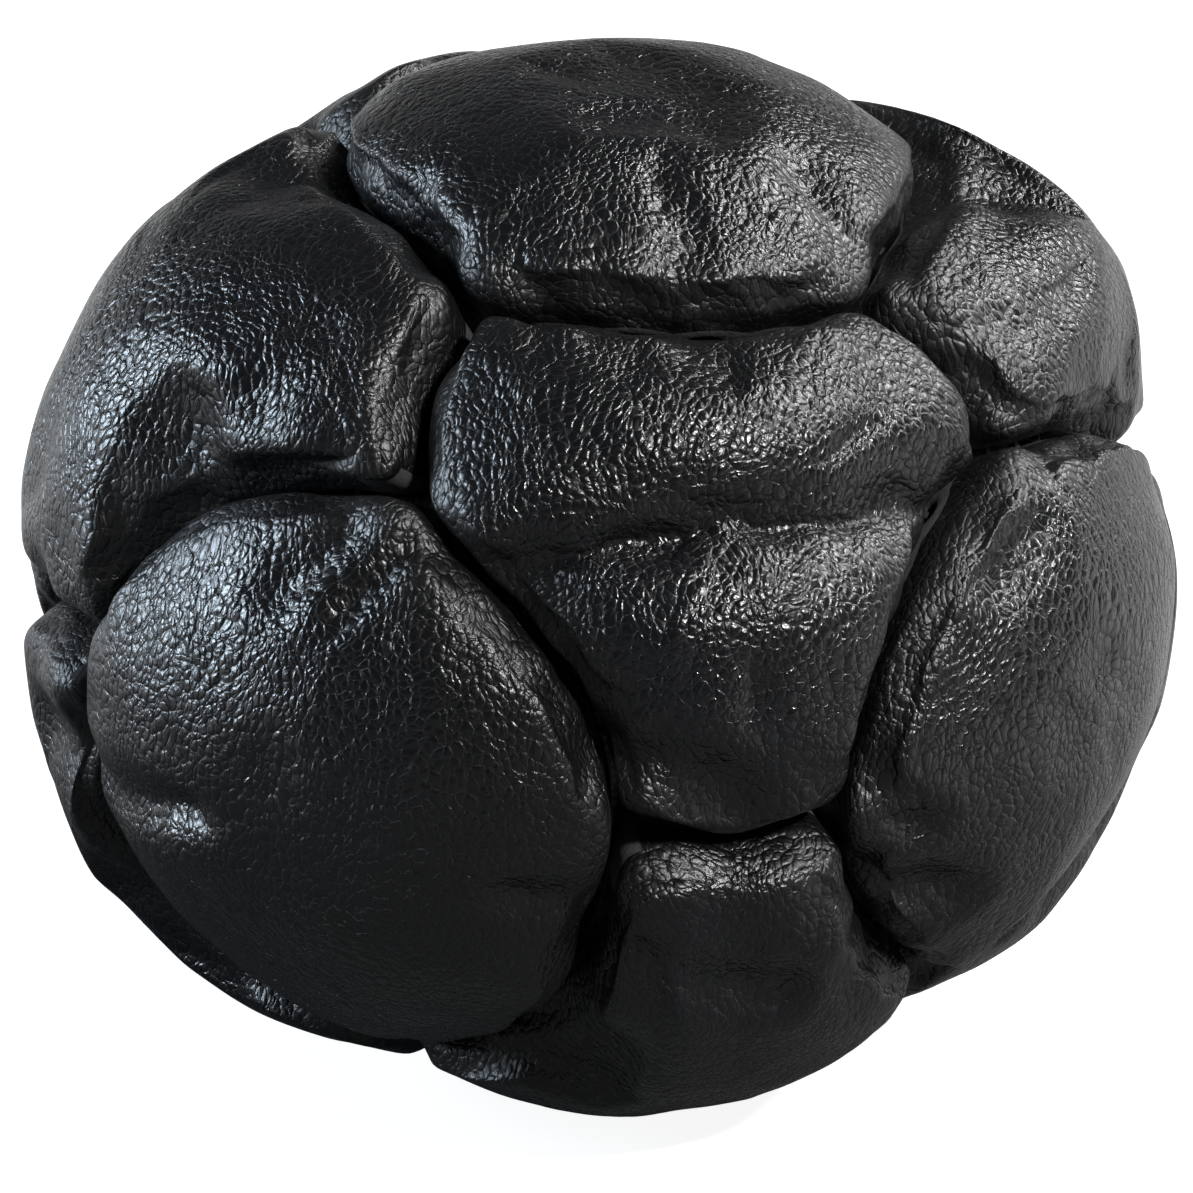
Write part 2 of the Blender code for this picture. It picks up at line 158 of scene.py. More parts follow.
def sizes():
    """The sizes that the panel in the sidebar shows."""
    return bpy.context.scene.footbag_sizes


def finish_values():
    """The colours and finishes that the panel in the sidebar shows."""
    return bpy.context.scene.footbag_finish


def middle():
    """The middle of the ball."""
    return numpy.array((0.0, 0.0, sizes().middle_height))


def direction(azimuth, elevation):
    """The unit vector at an azimuth and an elevation in degrees."""
    turn, lift = math.radians(azimuth), math.radians(elevation)
    return numpy.array(
        (math.cos(lift) * math.sin(turn), -math.cos(lift) * math.cos(turn), math.sin(lift))
    )


def unit(vectors):
    """The same directions, each one long."""
    return vectors / numpy.linalg.norm(vectors, axis=-1, keepdims=True)


def tree_of(points):
    """A tree that finds the nearest of some points."""
    tree = KDTree(len(points))
    for index, point in enumerate(points):
        tree.insert(point, index)
    tree.balance()
    return tree


def read_points(mesh):
    """The points of a mesh, as rows."""
    points = numpy.empty(len(mesh.vertices) * 3)
    mesh.vertices.foreach_get("co", points)
    return points.reshape(-1, 3)


def write_points(mesh, points):
    """Moves the points of a mesh."""
    mesh.vertices.foreach_set("co", points.ravel())
    mesh.update()


def select_only(piece):
    """Selects one object and makes it the active one."""
    bpy.ops.object.select_all(action="DESELECT")
    piece.select_set(True)
    bpy.context.view_layer.objects.active = piece


def apply_modifier(piece, name, kind, **values):
    """Adds a modifier with its values and applies it."""
    select_only(piece)
    modifier = piece.modifiers.new(name, kind)
    for key, value in values.items():
        setattr(modifier, key, value)
    bpy.ops.object.modifier_apply(modifier=modifier.name)


def copy_of_node(name, node):
    """A node's shape as an object of its own, its loose triangles merged and paired to quads."""
    made = bpy.data.objects.new(name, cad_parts[node].data.copy())
    made.data.name = name
    made.data.materials.clear()
    bpy.context.scene.collection.objects.link(made)
    select_only(made)
    bpy.ops.object.mode_set(mode="EDIT")
    bpy.ops.mesh.select_all(action="SELECT")
    bpy.ops.mesh.customdata_custom_splitnormals_clear()
    bpy.ops.mesh.remove_doubles(threshold=0.000001)
    bpy.ops.mesh.tris_convert_to_quads(face_threshold=math.pi, shape_threshold=math.pi)
    bpy.ops.object.mode_set(mode="OBJECT")
    return made


def tag_skin(piece):
    """Gives the faces that look out from the ball the skin's material and the rest the lining's."""
    mesh = piece.data
    count = len(mesh.polygons)
    centres, normals = numpy.empty(count * 3), numpy.empty(count * 3)
    mesh.polygons.foreach_get("center", centres)
    mesh.polygons.foreach_get("normal", normals)
    outward = (unit(centres.reshape(-1, 3) - middle()) * normals.reshape(-1, 3)).sum(axis=1)
    mesh.polygons.foreach_set("material_index", numpy.where(outward < SKIN_OUTWARD, LINING, SKIN))
    mesh.update()


def skin_rim(piece):
    """The rim of the skin: its points, and at each the normal of the wall that goes down there."""
    points, normals = [], []
    mesh = bmesh.new()
    mesh.from_mesh(piece.data)
    mesh.normal_update()
    for vert in mesh.verts:
        kinds = {face.material_index for face in vert.link_faces}
        if len(kinds) == 2:
            walls = [face.normal for face in vert.link_faces if face.material_index == LINING]
            arm = (vert.co - Vector(middle())).normalized()
            wall = sum(walls, Vector())
            points.append(vert.co[:])
            normals.append((wall - wall.dot(arm) * arm).normalized()[:])
    mesh.free()
    return numpy.array(points), numpy.array(normals)


def skin_points(piece):
    """Which points belong to the skin alone, and not to its rim."""
    mesh = piece.data
    inner = numpy.zeros(len(mesh.vertices), bool)
    outer = numpy.zeros(len(mesh.vertices), bool)
    for face in mesh.polygons:
        (inner if face.material_index == LINING else outer)[list(face.vertices)] = True
    return outer & ~inner


def keep_in_seams(piece):
    """Moves skin that has passed the plane of its seam back to it, and keeps it over the floor."""
    rim, walls = skin_rim(piece)
    radius = numpy.linalg.norm(rim - middle(), axis=1).mean()
    tree = tree_of(unit(rim - middle()) * radius)
    points = read_points(piece.data)
    skin = skin_points(piece)
    seam_distance = numpy.zeros(len(points))
    for index in numpy.nonzero(skin)[0]:
        arm = points[index] - middle()
        _, nearest, away = tree.find(arm / numpy.linalg.norm(arm) * radius)
        inward = -walls[nearest]
        short = (rim[nearest] - points[index]).dot(inward)
        if short > 0 and away < sizes().seam_reach:
            points[index] += short * inward
        seam_distance[index] = away
    points[:, 2] = numpy.maximum(points[:, 2], FRAME_BOX[0][2])
    write_points(piece.data, points)
    return seam_distance


def draw_to_seams(piece):
    """Draws the skin beside a seam up to it, so that neighbouring panels press on each other."""
    rim, walls = skin_rim(piece)
    tree = tree_of([unit(point - middle()) for point in rim])
    points = read_points(piece.data)
    skin = skin_points(piece)
    reach = sizes().draw_reach
    for index in numpy.nonzero(skin)[0]:
        arm = points[index] - middle()
        radius = numpy.linalg.norm(arm)
        _, nearest, angle = tree.find(arm / radius)
        away = angle * radius
        shift = away * reach / (away + reach) * math.exp(-((away / (6 * reach)) ** 2))
        points[index] += shift * walls[nearest]
    write_points(piece.data, points)


def press_folds(piece, name):
    """Presses the panel's folds into its skin, and raises their lips a little."""
    points = read_points(piece.data)
    rim, _ = skin_rim(piece)
    arms = points - middle()
    radii = numpy.linalg.norm(arms, axis=1)
    above = radii - numpy.linalg.norm(rim - middle(), axis=1).mean()
    weight = numpy.clip(above / sizes().fold_width, 0, 1)
    ways = arms / radii[:, None]
    for panel, route, depth, width in FOLDS:
        if panel != name:
            continue
        stations = numpy.array([direction(*place) for place in route]) * radii.mean()
        spots = ways * radii.mean()
        away = numpy.full(len(points), numpy.inf)
        for start, end in zip(stations[:-1], stations[1:]):
            run = end - start
            share = numpy.clip((spots - start) @ run / run.dot(run), 0, 1)
            gap = numpy.linalg.norm(spots - start - share[:, None] * run, axis=1)
            away = numpy.minimum(away, gap)
        away = away / (sizes().fold_width * width)
        lip = LIP_HEIGHT * numpy.exp(-((away - LIP_PLACE) ** 2))
        drop = numpy.exp(-(away ** FOLD_POWER)) - lip
        radii = radii - weight * sizes().fold_depth * depth * drop
    write_points(piece.data, middle() + ways * radii[:, None])


def ease_seams(piece, away):
    """Smooths the skin beside its seam, where it was moved back."""
    skin = skin_points(piece)
    beside = piece.vertex_groups.new(name="beside")
    for index in numpy.nonzero(skin)[0]:
        weight = math.exp(-((away[index] / (2 * sizes().seam_reach)) ** 2))
        beside.add([int(index)], weight, "REPLACE")
    apply_modifier(piece, "Ease", "SMOOTH", factor=0.5, iterations=4, vertex_group=beside.name)
    piece.vertex_groups.clear()


def loosen(piece, skin, points):
    """Draws the skin's points in, most in its middle, and gives it spare leather near its seams."""
    size = sizes()
    tree = tree_of(skin_rim(piece)[0])
    slack = piece.vertex_groups.new(name="slack")
    for index in numpy.nonzero(skin)[0]:
        near = math.exp(-((tree.find(points[index])[2] / size.slack_reach) ** 2))
        cloud = noise.noise(Vector(points[index]) / size.slack_reach)
        share = (SLACK_MEAN + SLACK_SWING * cloud) * near
        slack.add([int(index)], min(max(share, 0), 1), "REPLACE")
        points[index] -= size.puff_room * (1 - near) * unit(points[index] - middle())
    return slack


def fill_out(piece, held, slack):
    """Simulates a panel as cloth under the pressure of the fill, and keeps its last shape."""
    size = sizes()
    modifier = piece.modifiers.new("Puff", "CLOTH")
    cloth = modifier.settings
    for key, value in LEATHER_CLOTH.items():
        setattr(cloth, key, value)
    cloth.uniform_pressure_force = size.puff_pressure
    cloth.shrink_min = -size.spare_leather
    cloth.shrink_max = -size.spare_leather * size.seam_slack
    cloth.vertex_group_shrink = slack.name
    cloth.vertex_group_mass = held.name
    cloth.effector_weights.gravity = 0
    modifier.collision_settings.use_collision = False
    modifier.point_cache.frame_start = 1
    modifier.point_cache.frame_end = size.puff_frames
    for step in range(1, size.puff_frames + 1):
        bpy.context.scene.frame_set(step)
    select_only(piece)
    bpy.ops.object.modifier_apply(modifier=modifier.name)
    piece.vertex_groups.clear()
    bpy.context.scene.frame_set(1)


def keep_over_lining(points, skin, crown):
    """The points with skin that sank far below its first radius lifted, so that no lining shows."""
    arms = points - middle()
    radii = numpy.linalg.norm(arms, axis=1)
    limit = sizes().sink_limit
    sunk = numpy.where(skin, numpy.maximum(crown - radii - limit, 0), 0)
    raised = sunk - limit * (1 - numpy.exp(-sunk / limit))
    return points + (raised / radii)[:, None] * arms


def puff(piece):
    """Fills a panel out under pressure, as spare leather that is held at its seams."""
    size = sizes()
    start = read_points(piece.data)
    crown = numpy.linalg.norm(start - middle(), axis=1)
    skin = skin_points(piece)
    held = piece.vertex_groups.new(name="held")
    held.add([int(index) for index in numpy.nonzero(~skin)[0]], 1.0, "REPLACE")
    slack = loosen(piece, skin, start)
    write_points(piece.data, start * size.puff_scale)
    fill_out(piece, held, slack)
    moved = read_points(piece.data) / size.puff_scale - start
    length = numpy.linalg.norm(moved, axis=1, keepdims=True)
    moved *= numpy.minimum(1, size.puff_limit / numpy.maximum(length, 1e-9))
    write_points(piece.data, keep_over_lining(start + moved, skin, crown))


# Where a Mix node has its sockets for colours
MIX_SHARE, MIX_FIRST, MIX_SECOND, MIX_RESULT = 0, 6, 7, 2


class Nodes:
    """Builds a node tree, one node at a time."""

    def __init__(self, tree):
        self.tree = tree

    def feed(self, node, inputs):
        """Sets a node's inputs, or links them where they are given another node's output."""
        for key, value in inputs.items():
            socket = node.inputs[key]
            if isinstance(value, bpy.types.NodeSocket):
                self.tree.links.new(value, socket)
            else:
                socket.default_value = value

    def add(self, kind, inputs=None, **values):
        """A node with its values set, and its inputs set or linked."""
        node = self.tree.nodes.new(kind)
        for key, value in values.items():
            setattr(node, key, value)
        self.feed(node, inputs or {})
        return node

    def math(self, operation, *values):
        """The result of a Math node."""
        return self.add("ShaderNodeMath", dict(enumerate(values)), operation=operation).outputs[0]

    def ramp(self, value, low, high):
        """A value carried smoothly from a range to 0 to 1, and held there."""
        inputs = {"Value": value, "From Min": low, "From Max": high}
        node = self.add("ShaderNodeMapRange", inputs, interpolation_type="SMOOTHSTEP")
        return node.outputs["Result"]

    def warped(self, vector, scale, reach):
        """A place moved about by soft noise, so that a pattern there turns uneven."""
        cloud = self.add("ShaderNodeTexNoise", {"Vector": vector, "Scale": scale, "Detail": 2.0})
        inputs = {0: cloud.outputs["Color"], 1: (0.5, 0.5, 0.5)}
        centred = self.add("ShaderNodeVectorMath", inputs, operation="SUBTRACT").outputs[0]
        inputs = {0: centred, "Scale": reach}
        shift = self.add("ShaderNodeVectorMath", inputs, operation="SCALE").outputs[0]
        return self.add("ShaderNodeVectorMath", {0: vector, 1: shift}, operation="ADD").outputs[0]

    def group(self, tree, inputs):
        """A shared group's outputs, with its inputs set or linked."""
        node = self.add("ShaderNodeGroup", node_tree=tree)
        self.feed(node, inputs)
        return node.outputs

    def bump(self, shader, height):
        """Gives the shader a surface that stands up by a height in metres."""
        bump = self.add("ShaderNodeBump", {"Height": height, "Distance": 1.0, "Strength": 1.0})
        self.tree.links.new(bump.outputs["Normal"], shader.inputs["Normal"])

    def seen(self, path):
        """1 for what is seen straight, in a reflection or through something clear."""
        mirrored = self.math("MAXIMUM", path["Is Glossy Ray"], path["Is Transmission Ray"])
        return self.math("MAXIMUM", path["Is Camera Ray"], mirrored)

    def blend(self, share, first, second):
        """Two colours mixed by a share."""
        node = self.add("ShaderNodeMix", data_type="RGBA")
        self.feed(node, {MIX_SHARE: share, MIX_FIRST: first, MIX_SECOND: second})
        return node.outputs[MIX_RESULT]


def new_group(name, inputs, outputs):
    """A new shared node group: its builder, what it is given, and where its results go."""
    tree = bpy.data.node_groups.new(name, "ShaderNodeTree")
    for label, kind in inputs:
        tree.interface.new_socket(label, in_out="INPUT", socket_type="NodeSocket" + kind)
    for label, kind in outputs:
        tree.interface.new_socket(label, in_out="OUTPUT", socket_type="NodeSocket" + kind)
    build = Nodes(tree)
    given = build.add("NodeGroupInput").outputs
    return build, given, build.add("NodeGroupOutput").inputs


def pebble_group():
    """Pebbled leather grain: rounded cells of uneven height, drawn out here and there."""
    name = "Pebbled grain"
    if name in bpy.data.node_groups:
        return bpy.data.node_groups[name]
    build, given, result = new_group(
        name,
        (("Vector", "Vector"), ("Cell Size", "Float"), ("Depth", "Float")),
        (("Height", "Float"), ("Crease", "Float")),
    )
    scale = build.math("DIVIDE", 1.0, given["Cell Size"])
    draw_scale, draw_reach, warp_scale = 0.09, 5.0, 0.6
    bead_scale, plate_scale, pore_scale = 2.3, 0.3, 5.0
    reach = build.math("MULTIPLY", given["Cell Size"], draw_reach)
    drawn = build.warped(given["Vector"], build.math("MULTIPLY", scale, draw_scale), reach)
    place = build.warped(drawn, build.math("MULTIPLY", scale, warp_scale), given["Cell Size"])
    cells = {"Vector": place, "Scale": scale}
    cell = build.add("ShaderNodeTexVoronoi", cells, feature="F1").outputs
    tone = build.add("ShaderNodeSeparateColor", {"Color": cell["Color"]}).outputs["Red"]
    edge = build.add("ShaderNodeTexVoronoi", cells, feature="DISTANCE_TO_EDGE").outputs["Distance"]
    small = {"Vector": drawn, "Scale": build.math("MULTIPLY", scale, bead_scale)}
    bead = build.add("ShaderNodeTexVoronoi", small, feature="F1").outputs["Distance"]
    plates = {"Vector": place, "Scale": build.math("MULTIPLY", scale, plate_scale)}
    wide = build.add("ShaderNodeTexVoronoi", plates, feature="DISTANCE_TO_EDGE").outputs["Distance"]
    pore = build.math("MULTIPLY", scale, pore_scale)
    pores = {"Vector": given["Vector"], "Scale": pore, "Detail": 3.0}
    fine = build.add("ShaderNodeTexNoise", pores).outputs["Fac"]
    dome = build.math("SUBTRACT", 1.0, build.math("POWER", cell["Distance"], 1.8))
    beads = build.math("SUBTRACT", 1.0, build.math("POWER", bead, 2.0))
    height = build.math("MULTIPLY", dome, build.math("MULTIPLY_ADD", tone, 0.7, 0.65))
    for part, share in (
        (beads, 0.16),
        (build.ramp(edge, 0.0, 0.2), 0.16),
        (build.ramp(wide, 0.0, 0.05), 0.15),
        (fine, 0.2),
    ):
        height = build.math("MULTIPLY_ADD", part, share, height)
    # In the leather material the crease mask also darkens the colour: painted shade in the grain's
    # creases.
    crease = build.math("SUBTRACT", 1.0, build.ramp(edge, 0.0, 0.12))
    build.tree.links.new(build.math("MULTIPLY", height, given["Depth"]), result["Height"])
    build.tree.links.new(crease, result["Crease"])
    return build.tree


def wear_group():
    """Rubbed patches: a soft mask of places that hands and feet have polished."""
    name = "Handling wear"
    if name in bpy.data.node_groups:
        return bpy.data.node_groups[name]
    build, given, result = new_group(
        name, (("Vector", "Vector"), ("Patch Size", "Float")), (("Mask", "Float"),)
    )
    scale = build.math("DIVIDE", 1.0, given["Patch Size"])
    patches = {"Vector": given["Vector"], "Scale": scale, "Detail": 4.0}
    cloud = build.add("ShaderNodeTexNoise", patches)
    build.tree.links.new(build.ramp(cloud.outputs["Fac"], 0.42, 0.68), result["Mask"])
    return build.tree


def weave_group():
    """Plain weave round the ball: threads that cross over and under each other, and a share that is
    low in the gaps between them, where shade is painted.
    """
    name = "Plain weave"
    if name in bpy.data.node_groups:
        return bpy.data.node_groups[name]
    build, given, result = new_group(
        name,
        (("Vector", "Vector"), ("Turns", "Float"), ("Depth", "Float")),
        (("Height", "Float"), ("Shade", "Float")),
    )
    parts = build.add("ShaderNodeSeparateXYZ", {0: given["Vector"]}).outputs
    measure = build.add("ShaderNodeVectorMath", {0: given["Vector"]}, operation="LENGTH")
    length = measure.outputs["Value"]
    around = build.math("ARCTAN2", parts["X"], parts["Y"])
    upward = build.math("ARCSINE", build.math("DIVIDE", parts["Z"], length))
    warp = build.math("SINE", build.math("MULTIPLY", around, given["Turns"]))
    weft = build.math("SINE", build.math("MULTIPLY", upward, given["Turns"]))
    cross = build.math("ABSOLUTE", build.math("MULTIPLY", warp, weft))
    build.tree.links.new(build.math("MULTIPLY", cross, given["Depth"]), result["Height"])
    build.tree.links.new(cross, result["Shade"])
    return build.tree


def new_material(name):
    """A material with its Principled shader, and the builder of its nodes."""
    material = bpy.data.materials.new(name)
    material.use_nodes = True
    return material, Nodes(material.node_tree), material.node_tree.nodes["Principled BSDF"]


def leather_material():
    """Black pebbled leather, semi-gloss on its domes; rougher in its creases and beside its seams,
    and darkened there as painted shade.
    """
    look = finish_values()
    material, build, shader = new_material("Black pebbled leather")
    place = build.add("ShaderNodeTexCoord").outputs["Object"]
    stretch = {"Vector": place, "Scale": (1.0, 1.0, 0.78)}
    stretched = build.add("ShaderNodeMapping", stretch).outputs[0]
    values = {"Vector": stretched, "Cell Size": sizes().grain_size, "Depth": sizes().grain_depth}
    grain = build.group(pebble_group(), values)
    rubbed = build.group(wear_group(), {"Vector": place, "Patch Size": 0.011})["Mask"]
    # The seam mask darkens the leather beside each seam as painted shade of the groove, and makes it
    # rougher.
    seam = build.add("ShaderNodeAttribute", attribute_name="seam").outputs["Fac"]
    # Rougher and darker in the grain's creases and beside the seams: the roughness is the leather's
    # own, the darkening is painted shade.
    dullness_and_painted_shade = build.math("MAXIMUM", build.math("MULTIPLY", grain["Crease"], 0.8), seam)
    colour = build.blend(rubbed, look.leather_colour, look.rubbed_colour)
    colour = build.blend(dullness_and_painted_shade, colour, look.crease_painted_shade_colour)
    build.tree.links.new(colour, shader.inputs["Base Color"])
    rough = build.math("MULTIPLY_ADD", rubbed, -0.06, look.leather_roughness)
    rough = build.math("MULTIPLY_ADD", dullness_and_painted_shade, 0.22, rough)
    build.tree.links.new(rough, shader.inputs["Roughness"])
    shader.inputs["Specular IOR Level"].default_value = 0.7
    build.bump(shader, grain["Height"])
    return material


def suede_material():
    """The flesh side of the leather, inside the bag."""
    material, build, shader = new_material("Leather flesh side")
    place = build.add("ShaderNodeTexCoord").outputs["Object"]
    fibres = {"Vector": place, "Scale": 4000.0, "Detail": 4.0}
    nap = build.add("ShaderNodeTexNoise", fibres).outputs["Fac"]
    colour = build.blend(nap, (0.02, 0.02, 0.022, 1), (0.06, 0.06, 0.065, 1))
    build.tree.links.new(colour, shader.inputs["Base Color"])
    shader.inputs["Roughness"].default_value = 0.85
    build.bump(shader, build.math("MULTIPLY", nap, 0.00006))
    return material


def thread_material():
    """Waxed black sewing thread, with its strands and the wax rubbed off here and there."""
    look = finish_values()
    material, build, shader = new_material("Waxed black thread")
    place = build.add("ShaderNodeTexCoord").outputs["Object"]
    bands = {"Vector": build.warped(place, 900.0, 0.0003), "Scale": 420.0, "Distortion": 1.5}
    strand = build.add("ShaderNodeTexWave", bands, bands_direction="DIAGONAL").outputs["Fac"]
    rubbed = build.group(wear_group(), {"Vector": place, "Patch Size": 0.002})["Mask"]
    colour = build.blend(rubbed, look.thread_colour, look.rubbed_colour)
    build.tree.links.new(colour, shader.inputs["Base Color"])
    build.tree.links.new(build.math("MULTIPLY_ADD", rubbed, -0.15, 0.6), shader.inputs["Roughness"])
    build.bump(shader, build.math("MULTIPLY", strand, 0.00006))
    return material


def cloth_material():
    """Undyed plain-woven cotton of the inner bag."""
    look = finish_values()
    material, build, shader = new_material("Undyed cotton")
    place = build.add("ShaderNodeTexCoord").outputs["Object"]
    centre = (0.0, 0.0, -sizes().middle_height)
    centred = build.add("ShaderNodeMapping", {"Vector": place, "Location": centre}).outputs[0]
    weave = build.group(weave_group(), {"Vector": centred, "Turns": 150.0, "Depth": 0.00008})
    # Darker in the gaps between the threads: painted shade.
    colour = build.blend(weave["Shade"], look.cloth_painted_shade, look.cloth_colour)
    build.tree.links.new(colour, shader.inputs["Base Color"])
    shader.inputs["Roughness"].default_value = 0.9
    build.bump(shader, weave["Height"])
    return material


def sand_material():
    """Dry fine sand: grains of several colours."""
    look = finish_values()
    material, build, shader = new_material("Fine dry sand")
    place = build.add("ShaderNodeTexCoord").outputs["Object"]
    grains = {"Vector": place, "Scale": 2600.0}
    cell = build.add("ShaderNodeTexVoronoi", grains, feature="F1").outputs
    tone = build.add("ShaderNodeSeparateColor", {"Color": cell["Color"]}).outputs["Red"]
    colour = build.blend(tone, look.sand_shade, look.sand_colour)
    build.tree.links.new(colour, shader.inputs["Base Color"])
    build.tree.links.new(build.math("MULTIPLY_ADD", tone, -0.35, 0.95), shader.inputs["Roughness"])
    build.bump(shader, build.math("MULTIPLY", cell["Distance"], -0.0002))
    return material


def floor_material():
    """A floor that is seen as white with the bag's shadow on it. To other rays it is dark, and in
    reflections it is paler and glows only away from the bag's front: a painted reflection, with
    painted shade near the front of the bag.
    """
    material, build, shader = new_material("Pale floor")
    path = build.add("ShaderNodeLightPath").outputs
    place = build.add("ShaderNodeTexCoord").outputs["Object"]
    back = build.add("ShaderNodeSeparateXYZ", {0: place}).outputs["Y"]
    # Painted shade: a dark spot in the floor's reflections in front of the bag; the floor glows in
    # reflections only farther away.
    painted_shade_spot = {0: place, 1: (-0.03, -0.045, 0.0)}
    away = build.add("ShaderNodeVectorMath", painted_shade_spot, operation="DISTANCE").outputs["Value"]
    straight = build.math("MAXIMUM", path["Is Camera Ray"], path["Is Transmission Ray"])
    # The share of painted glow and pale colour that reflections of the floor get, low near and in
    # front of the bag.
    painted_glow_share = build.math("MULTIPLY", build.ramp(away, 0.05, 0.15), build.ramp(back, -0.15, -0.02))
    mirrored = build.math("MULTIPLY", path["Is Glossy Ray"], build.math("MULTIPLY", painted_glow_share, 0.55))
    seen = build.math("MAXIMUM", straight, mirrored)
    colour = build.blend(seen, (0.11, 0.11, 0.11, 1), (0.5, 0.5, 0.5, 1))
    build.tree.links.new(colour, shader.inputs["Base Color"])
    shader.inputs["Roughness"].default_value = 0.9
    shader.inputs["Specular IOR Level"].default_value = 0.0
    shader.inputs["Emission Color"].default_value = WHITE
    build.tree.links.new(build.math("MULTIPLY", seen, 0.9), shader.inputs["Emission Strength"])
    return material


def dress_nodes(prefix, material):
    """Gives the CAD nodes whose names start so a finish of their own."""
    for name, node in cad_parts.items():
        if name.startswith(prefix):
            node.data.materials.clear()
            node.data.materials.append(material)


class FootbagSizes(bpy.types.PropertyGroup):
    """Sizes of the bag's looks."""

    middle_height: FloatProperty(
        name="Middle",
        description="Height of the middle of the ball over the surface it rests on",
        default=0.0261,
        unit="LENGTH",
    )
    seam_reach: FloatProperty(
        name="Seam reach",
        description="How near to a seam a panel's skin may press against it",
        default=0.0015,
        unit="LENGTH",
    )
    draw_reach: FloatProperty(
        name="Draw reach",
        description="How far the skin beside a seam is drawn towards it",
        default=0.0011,
        unit="LENGTH",
    )
    fold_depth: FloatProperty(
        name="Fold depth",
        description="Depth of a full fold in the leather",
        default=0.0011,
        unit="LENGTH",
    )
    fold_width: FloatProperty(
        name="Fold width",
        description="Half width of a full fold in the leather",
        default=0.0022,
        unit="LENGTH",
    )
    spare_leather: FloatProperty(
        name="Spare leather",
        description="Share by which a panel's leather is longer than its place",
        default=0.07,
        subtype="FACTOR",
    )
    seam_slack: FloatProperty(
        name="Seam slack",
        description="How many times more spare leather a panel has beside its seams",
        default=2.0,
    )
    slack_reach: FloatProperty(
        name="Slack reach",
        description="How far from the seams that spare leather reaches",
        default=0.0045,
        unit="LENGTH",
    )
    puff_scale: FloatProperty(
        name="Puff scale",
        description="How many times larger the panels are while they fill out",
        default=20.0,
    )
    puff_pressure: FloatProperty(
        name="Puff pressure",
        description="Pressure of the fill on a panel",
        default=1.2,
    )
    puff_limit: FloatProperty(
        name="Puff limit",
        description="How far a point of a panel may move as the panel fills out",
        default=0.0014,
        unit="LENGTH",
    )
    puff_room: FloatProperty(
        name="Puff room",
        description="How far the middle of a panel is drawn in before it fills out",
        default=0.0011,
        unit="LENGTH",
    )
    sink_limit: FloatProperty(
        name="Sink limit",
        description="How deep skin may sink before it is lifted; it never sinks twice as deep",
        default=0.00045,
        min=0.0001,
        max=0.0005,
        precision=5,
    )
    puff_frames: IntProperty(
        name="Puff frames",
        description="Frames over which the panels fill out",
        default=16,
    )
    grain_size: FloatProperty(
        name="Grain size",
        description="Width of a cell of the leather's grain",
        default=0.00043,
        unit="LENGTH",
    )
    grain_depth: FloatProperty(
        name="Grain depth",
        description="Height of a cell of the leather's grain",
        default=0.00008,
        unit="LENGTH",
    )


class FootbagFinish(bpy.types.PropertyGroup):
    """Colours and finishes of the bag."""

    leather_colour: FloatVectorProperty(
        name="Leather",
        description="Colour of the leather's domes",
        default=(0.003, 0.0033, 0.004, 1.0),
        size=4,
        subtype="COLOR",
    )
    # Painted shade: the darker colour that the leather takes in its grain's creases and beside its
    # seams.
    crease_painted_shade_colour: FloatVectorProperty(
        name="Creases",
        description="Colour of the leather between its domes",
        default=(0.0012, 0.0012, 0.0015, 1.0),
        size=4,
        subtype="COLOR",
    )
    rubbed_colour: FloatVectorProperty(
        name="Rubbed",
        description="Colour of leather and thread where handling has rubbed them",
        default=(0.0055, 0.006, 0.0075, 1.0),
        size=4,
        subtype="COLOR",
    )
    thread_colour: FloatVectorProperty(
        name="Thread",
        description="Colour of the sewing thread",
        default=(0.015, 0.015, 0.016, 1.0),
        size=4,
        subtype="COLOR",
    )
    cloth_colour: FloatVectorProperty(
        name="Cloth",
        description="Colour of the inner bag's threads",
        default=(0.55, 0.53, 0.48, 1.0),
        size=4,
        subtype="COLOR",
    )
    # Painted shade: the darker colour put in the gaps between the threads.
    cloth_painted_shade: FloatVectorProperty(
        name="Cloth shade",
        description="Colour of the gaps between the inner bag's threads",
        default=(0.30, 0.28, 0.24, 1.0),
        size=4,
        subtype="COLOR",
    )
    sand_colour: FloatVectorProperty(
        name="Sand",
        description="Colour of the fill's pale grains",
        default=(0.62, 0.50, 0.34, 1.0),
        size=4,
        subtype="COLOR",
    )
    sand_shade: FloatVectorProperty(
        name="Dark sand",
        description="Colour of the fill's dark grains",
        default=(0.36, 0.26, 0.16, 1.0),
        size=4,
        subtype="COLOR",
    )
    leather_roughness: FloatProperty(
        name="Leather roughness",
        description="Roughness of the leather's domes",
        default=0.23,
        subtype="FACTOR",
    )


class FOOTBAG_OT_panels(bpy.types.Operator):
    """Make the fourteen leather panels"""

    bl_idname = "footbag.panels"
    bl_label = "Leather Panels"

    def execute(self, context):
        leather, suede = leather_material(), suede_material()
        for name in PANELS:
            piece = copy_of_node("leather_" + name, "panel_" + name)
            piece.data.materials.append(leather)
            piece.data.materials.append(suede)
            tag_skin(piece)
            apply_modifier(piece, "Round", "SUBSURF", levels=2, render_levels=2)
            draw_to_seams(piece)
            press_folds(piece, name)
            puff(piece)
            away = keep_in_seams(piece)
            ease_seams(piece, away)
            # A mask that is 1 at each seam and fades away from it; the leather material paints the
            # groove's shade with it.
            seam = piece.data.attributes.new("seam", "FLOAT", "POINT")
            seam.data.foreach_set("value", numpy.exp(-((away / sizes().seam_reach) ** 2)))
            apply_modifier(piece, "Smooth", "SUBSURF", levels=1, render_levels=1)
            piece.data.shade_smooth()
            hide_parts("panel_" + name)
            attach(piece, ROOT)
        return {"FINISHED"}


